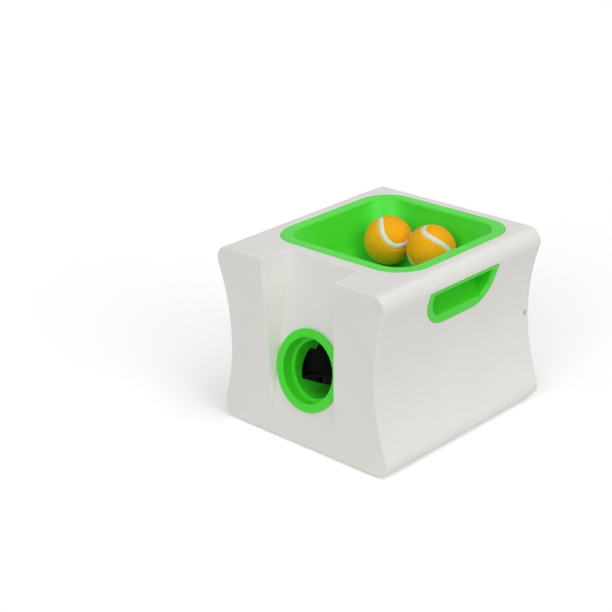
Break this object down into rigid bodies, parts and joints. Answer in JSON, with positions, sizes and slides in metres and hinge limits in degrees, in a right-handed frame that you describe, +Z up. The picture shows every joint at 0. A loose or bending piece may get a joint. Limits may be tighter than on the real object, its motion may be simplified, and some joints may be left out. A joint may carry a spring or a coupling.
{
  "type": "dog ball launcher",
  "caption": "Free-standing motorized launcher that throws small tennis balls for a dog: hopper on top, nozzle in a front notch, paired launch wheels and a feed arm inside.",
  "frame": {"origin": "on the ground under the middle of the body, level with the underside of the feet", "axes": "+Z up, -Y the way the balls are thrown, +X to the right seen from the front"},
  "size_m": [0.22, 0.233, 0.187],
  "materials": {
    "white_shell": "satin",
    "green_plastic": "satin",
    "dark_plastic": "matte",
    "grey_plastic": "matte",
    "nylon": "satin",
    "steel": "brushed",
    "black_rubber": "matte",
    "circuit_board": "satin",
    "brass": "polished",
    "cell_wrap": "gloss",
    "light_pipe": "gloss",
    "ball_felt": "felt"
  },
  "bodies": {
    "casing": {"shell": "white_shell", "rear_cover": "white_shell", "base_plate": "white_shell", "hopper": "green_plastic", "nozzle": "green_plastic", "nozzle_retainer": "dark_plastic", "handle_cup_right": "green_plastic", "handle_cup_left": "green_plastic", "rubber_feet": "black_rubber", "base_screws": "steel", "side_screws": "steel", "launch_frame": "grey_plastic", "frame_screws": "steel", "left_motor": "steel", "right_motor": "steel", "motor_screws": "steel", "drop_chute": "grey_plastic", "sensor_emitter": "dark_plastic", "sensor_receiver": "dark_plastic", "ball_trough": "grey_plastic", "trough_screws": "steel", "feed_motor": "steel", "feed_bracket": "grey_plastic", "feed_screws": "steel", "control_board": "circuit_board", "board_parts": "dark_plastic", "board_screws": "steel", "tact_switches": "dark_plastic", "status_lights": "light_pipe", "dc_socket": "dark_plastic", "battery_tray": "dark_plastic", "battery_cells": "cell_wrap", "battery_contacts": "brass", "battery_door": "white_shell", "door_screw": "steel", "wires": "dark_plastic"},
    "left_wheel": {"left_motor_shaft": "steel", "left_wheel_hub": "grey_plastic", "left_tyre": "black_rubber"},
    "right_wheel": {"right_motor_shaft": "steel", "right_wheel_hub": "grey_plastic", "right_tyre": "black_rubber"},
    "feed_rotor": {"feed_shaft": "steel", "feed_arm": "nylon", "shaft_clips": "steel", "feed_gear": "nylon"},
    "feed_drive": {"feed_pinion": "nylon", "feed_motor_shaft": "steel"},
    "power_button": {"power_button": "green_plastic"},
    "distance_button": {"distance_button": "grey_plastic"},
    "ball_1": {"ball_1": "ball_felt"},
    "ball_2": {"ball_2": "ball_felt"}
  },
  "joints": [
    {"name": "left_wheel_spin", "type": "hinge", "parent": "casing", "child": "left_wheel", "pos_m": [-0.051, -0.04433, 0.0653], "axis": [0, 0.2237, 0.9746], "continuous": true},
    {"name": "right_wheel_spin", "type": "hinge", "parent": "casing", "child": "right_wheel", "pos_m": [0.051, -0.04433, 0.0653], "axis": [0, 0.2237, 0.9746], "continuous": true},
    {"name": "feed_spin", "type": "hinge", "parent": "casing", "child": "feed_rotor", "pos_m": [0, 0.03555, 0.05106], "axis": [1, 0, 0], "continuous": true},
    {"name": "feed_drive_spin", "type": "hinge", "parent": "casing", "child": "feed_drive", "pos_m": [0, 0.04182, 0.07835], "axis": [1, 0, 0], "continuous": true},
    {"name": "power_button_press", "type": "slide", "parent": "casing", "child": "power_button", "axis": [0, -1, 0], "range_m": [0, 0.001], "stiffness_N_per_m": 600, "springref_m": -0.0005},
    {"name": "distance_button_press", "type": "slide", "parent": "casing", "child": "distance_button", "axis": [0, -1, 0], "range_m": [0, 0.001], "stiffness_N_per_m": 600, "springref_m": -0.0005},
    {"name": "ball_1_lift", "type": "slide", "parent": "casing", "child": "ball_1", "axis": [0, 0, 1], "range_m": [0, 0.08]},
    {"name": "ball_2_lift", "type": "slide", "parent": "casing", "child": "ball_2", "axis": [0, 0, 1], "range_m": [0, 0.08]}
  ],
  "couplings": [
    {"joint": "feed_drive_spin", "follows": "feed_spin", "ratio": -2.5}
  ]
}
